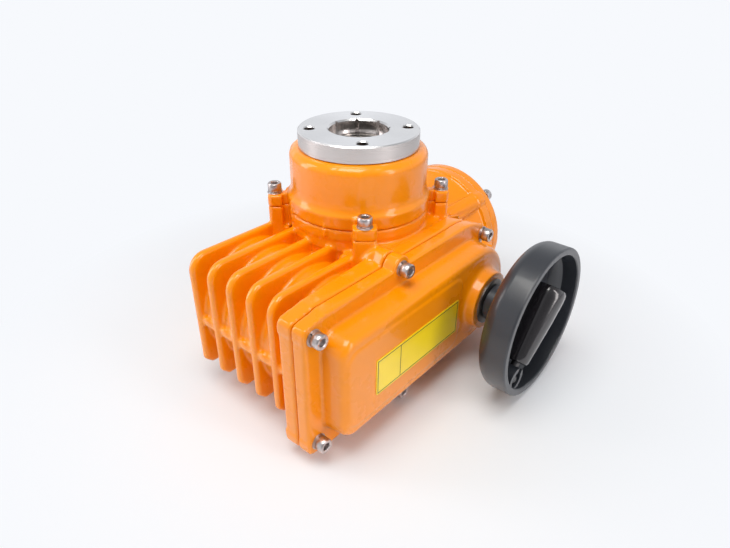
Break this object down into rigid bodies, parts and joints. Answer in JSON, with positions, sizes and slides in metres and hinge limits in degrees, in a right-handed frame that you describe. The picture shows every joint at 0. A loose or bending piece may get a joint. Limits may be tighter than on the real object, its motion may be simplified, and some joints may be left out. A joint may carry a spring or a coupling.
{
  "type": "explosion-proof electric actuator",
  "caption": "Quarter-turn electric valve actuator with finned motor housing, star-socket steel mounting flange, domed gear cover and folding-handle handwheel.",
  "frame": {"origin": "centre of the valve mounting face, on the output axis", "axes": "+Z out of the mounting face along the output axis, +X to the handwheel, +Y to the terminal compartment"},
  "size_m": [0.2064, 0.2675, 0.1785],
  "materials": {
    "orange_paint": "glossy powder coat",
    "stainless": "turned stainless steel",
    "zinc_steel": "bright plated screws",
    "plug_steel": "plated blanking plugs",
    "gear_steel": "machined steel, oiled",
    "bronze": "machined bronze",
    "cast_aluminium": "as cast and turned",
    "black_nylon": "fine matte moulding",
    "black_gloss": "polished thermoset",
    "seal_rubber": "flat sheet seal",
    "window_glass": "clear toughened glass",
    "dial_plastic": "moulded dial",
    "board_green": "printed circuit board",
    "yellow_film": "blank yellow film plate"
  },
  "bodies": {
    "housing": {"closed_switch": "black_nylon", "control_board": "board_green", "cover_bush": "bronze", "cover_gasket": "seal_rubber", "cover_screws": "zinc_steel", "cover_washers": "zinc_steel", "first_entry_plug": "plug_steel", "first_idler_clip": "gear_steel", "first_idler_pin": "gear_steel", "gear_cover": "orange_paint", "glass_clamp": "gear_steel", "housing_screws": "zinc_steel", "housing_washers": "zinc_steel", "lid_screws": "zinc_steel", "lid_washers": "zinc_steel", "lower_bush": "bronze", "main_housing": "orange_paint", "motor_capacitor": "gear_steel", "motor_end_bell": "cast_aluminium", "motor_front_bearing": "gear_steel", "motor_rear_bearing": "gear_steel", "motor_stator": "gear_steel", "mounting_flange": "stainless", "open_switch": "black_nylon", "output_housing": "orange_paint", "seal_retainer": "stainless", "second_entry_plug": "plug_steel", "second_idler_clip": "gear_steel", "second_idler_pin": "gear_steel", "side_plate": "yellow_film", "switch_bracket": "gear_steel", "terminal_block": "black_nylon", "terminal_cover": "orange_paint", "upper_bush": "bronze", "window_glass": "window_glass", "window_ring": "orange_paint", "window_screws": "zinc_steel", "worm_front_bearing": "gear_steel", "worm_rear_bearing": "gear_steel"},
    "output": {"output_sleeve": "stainless", "worm_wheel": "bronze", "wheel_key": "gear_steel", "wheel_clip": "gear_steel", "open_cam": "black_nylon", "closed_cam": "black_nylon", "indicator_dial": "dial_plastic"},
    "wheel_shaft": {"worm_shaft": "gear_steel", "final_gear": "gear_steel", "handwheel": "black_nylon", "wheel_nut": "stainless", "handle_pin": "stainless"},
    "handle": {"handle_arm": "stainless"},
    "grip": {"handle_grip": "black_gloss"},
    "idler_one": {"first_idler": "gear_steel"},
    "idler_two": {"second_idler": "gear_steel"},
    "rotor": {"motor_rotor": "gear_steel", "motor_pinion": "gear_steel"}
  },
  "joints": [
    {"name": "handwheel_turn", "type": "hinge", "parent": "housing", "child": "wheel_shaft", "pos_m": [0, 0.034, -0.119], "axis": [1, 0, 0], "range_deg": [0, 2160]},
    {"name": "output_turn", "type": "hinge", "parent": "housing", "child": "output", "pos_m": [0, 0, -0.119], "axis": [0, 0, 1], "range_deg": [0, 90]},
    {"name": "second_idler_turn", "type": "hinge", "parent": "housing", "child": "idler_two", "pos_m": [0.07, -0.009, -0.119], "axis": [1, 0, 0], "range_deg": [-3000, 0]},
    {"name": "first_idler_turn", "type": "hinge", "parent": "housing", "child": "idler_one", "pos_m": [0.07, -0.045, -0.119], "axis": [1, 0, 0], "range_deg": [0, 3000]},
    {"name": "rotor_turn", "type": "hinge", "parent": "housing", "child": "rotor", "pos_m": [0, -0.075, -0.119], "axis": [1, 0, 0], "range_deg": [-4500, 0]},
    {"name": "handle_fold", "type": "hinge", "parent": "wheel_shaft", "child": "handle", "pos_m": [0.1384, 0.00507, -0.15347], "axis": [0, 0.766, -0.6428], "range_deg": [0, 90]},
    {"name": "grip_spin", "type": "hinge", "parent": "handle", "child": "grip", "pos_m": [0.1384, 0.00507, -0.15347], "axis": [0, 0.6428, 0.766], "continuous": true}
  ],
  "couplings": [
    {"joint": "output_turn", "follows": "handwheel_turn", "ratio": 0.041667},
    {"joint": "second_idler_turn", "follows": "handwheel_turn", "ratio": -1.3889},
    {"joint": "first_idler_turn", "follows": "handwheel_turn", "ratio": 1.3889},
    {"joint": "rotor_turn", "follows": "handwheel_turn", "ratio": -2.0833}
  ]
}
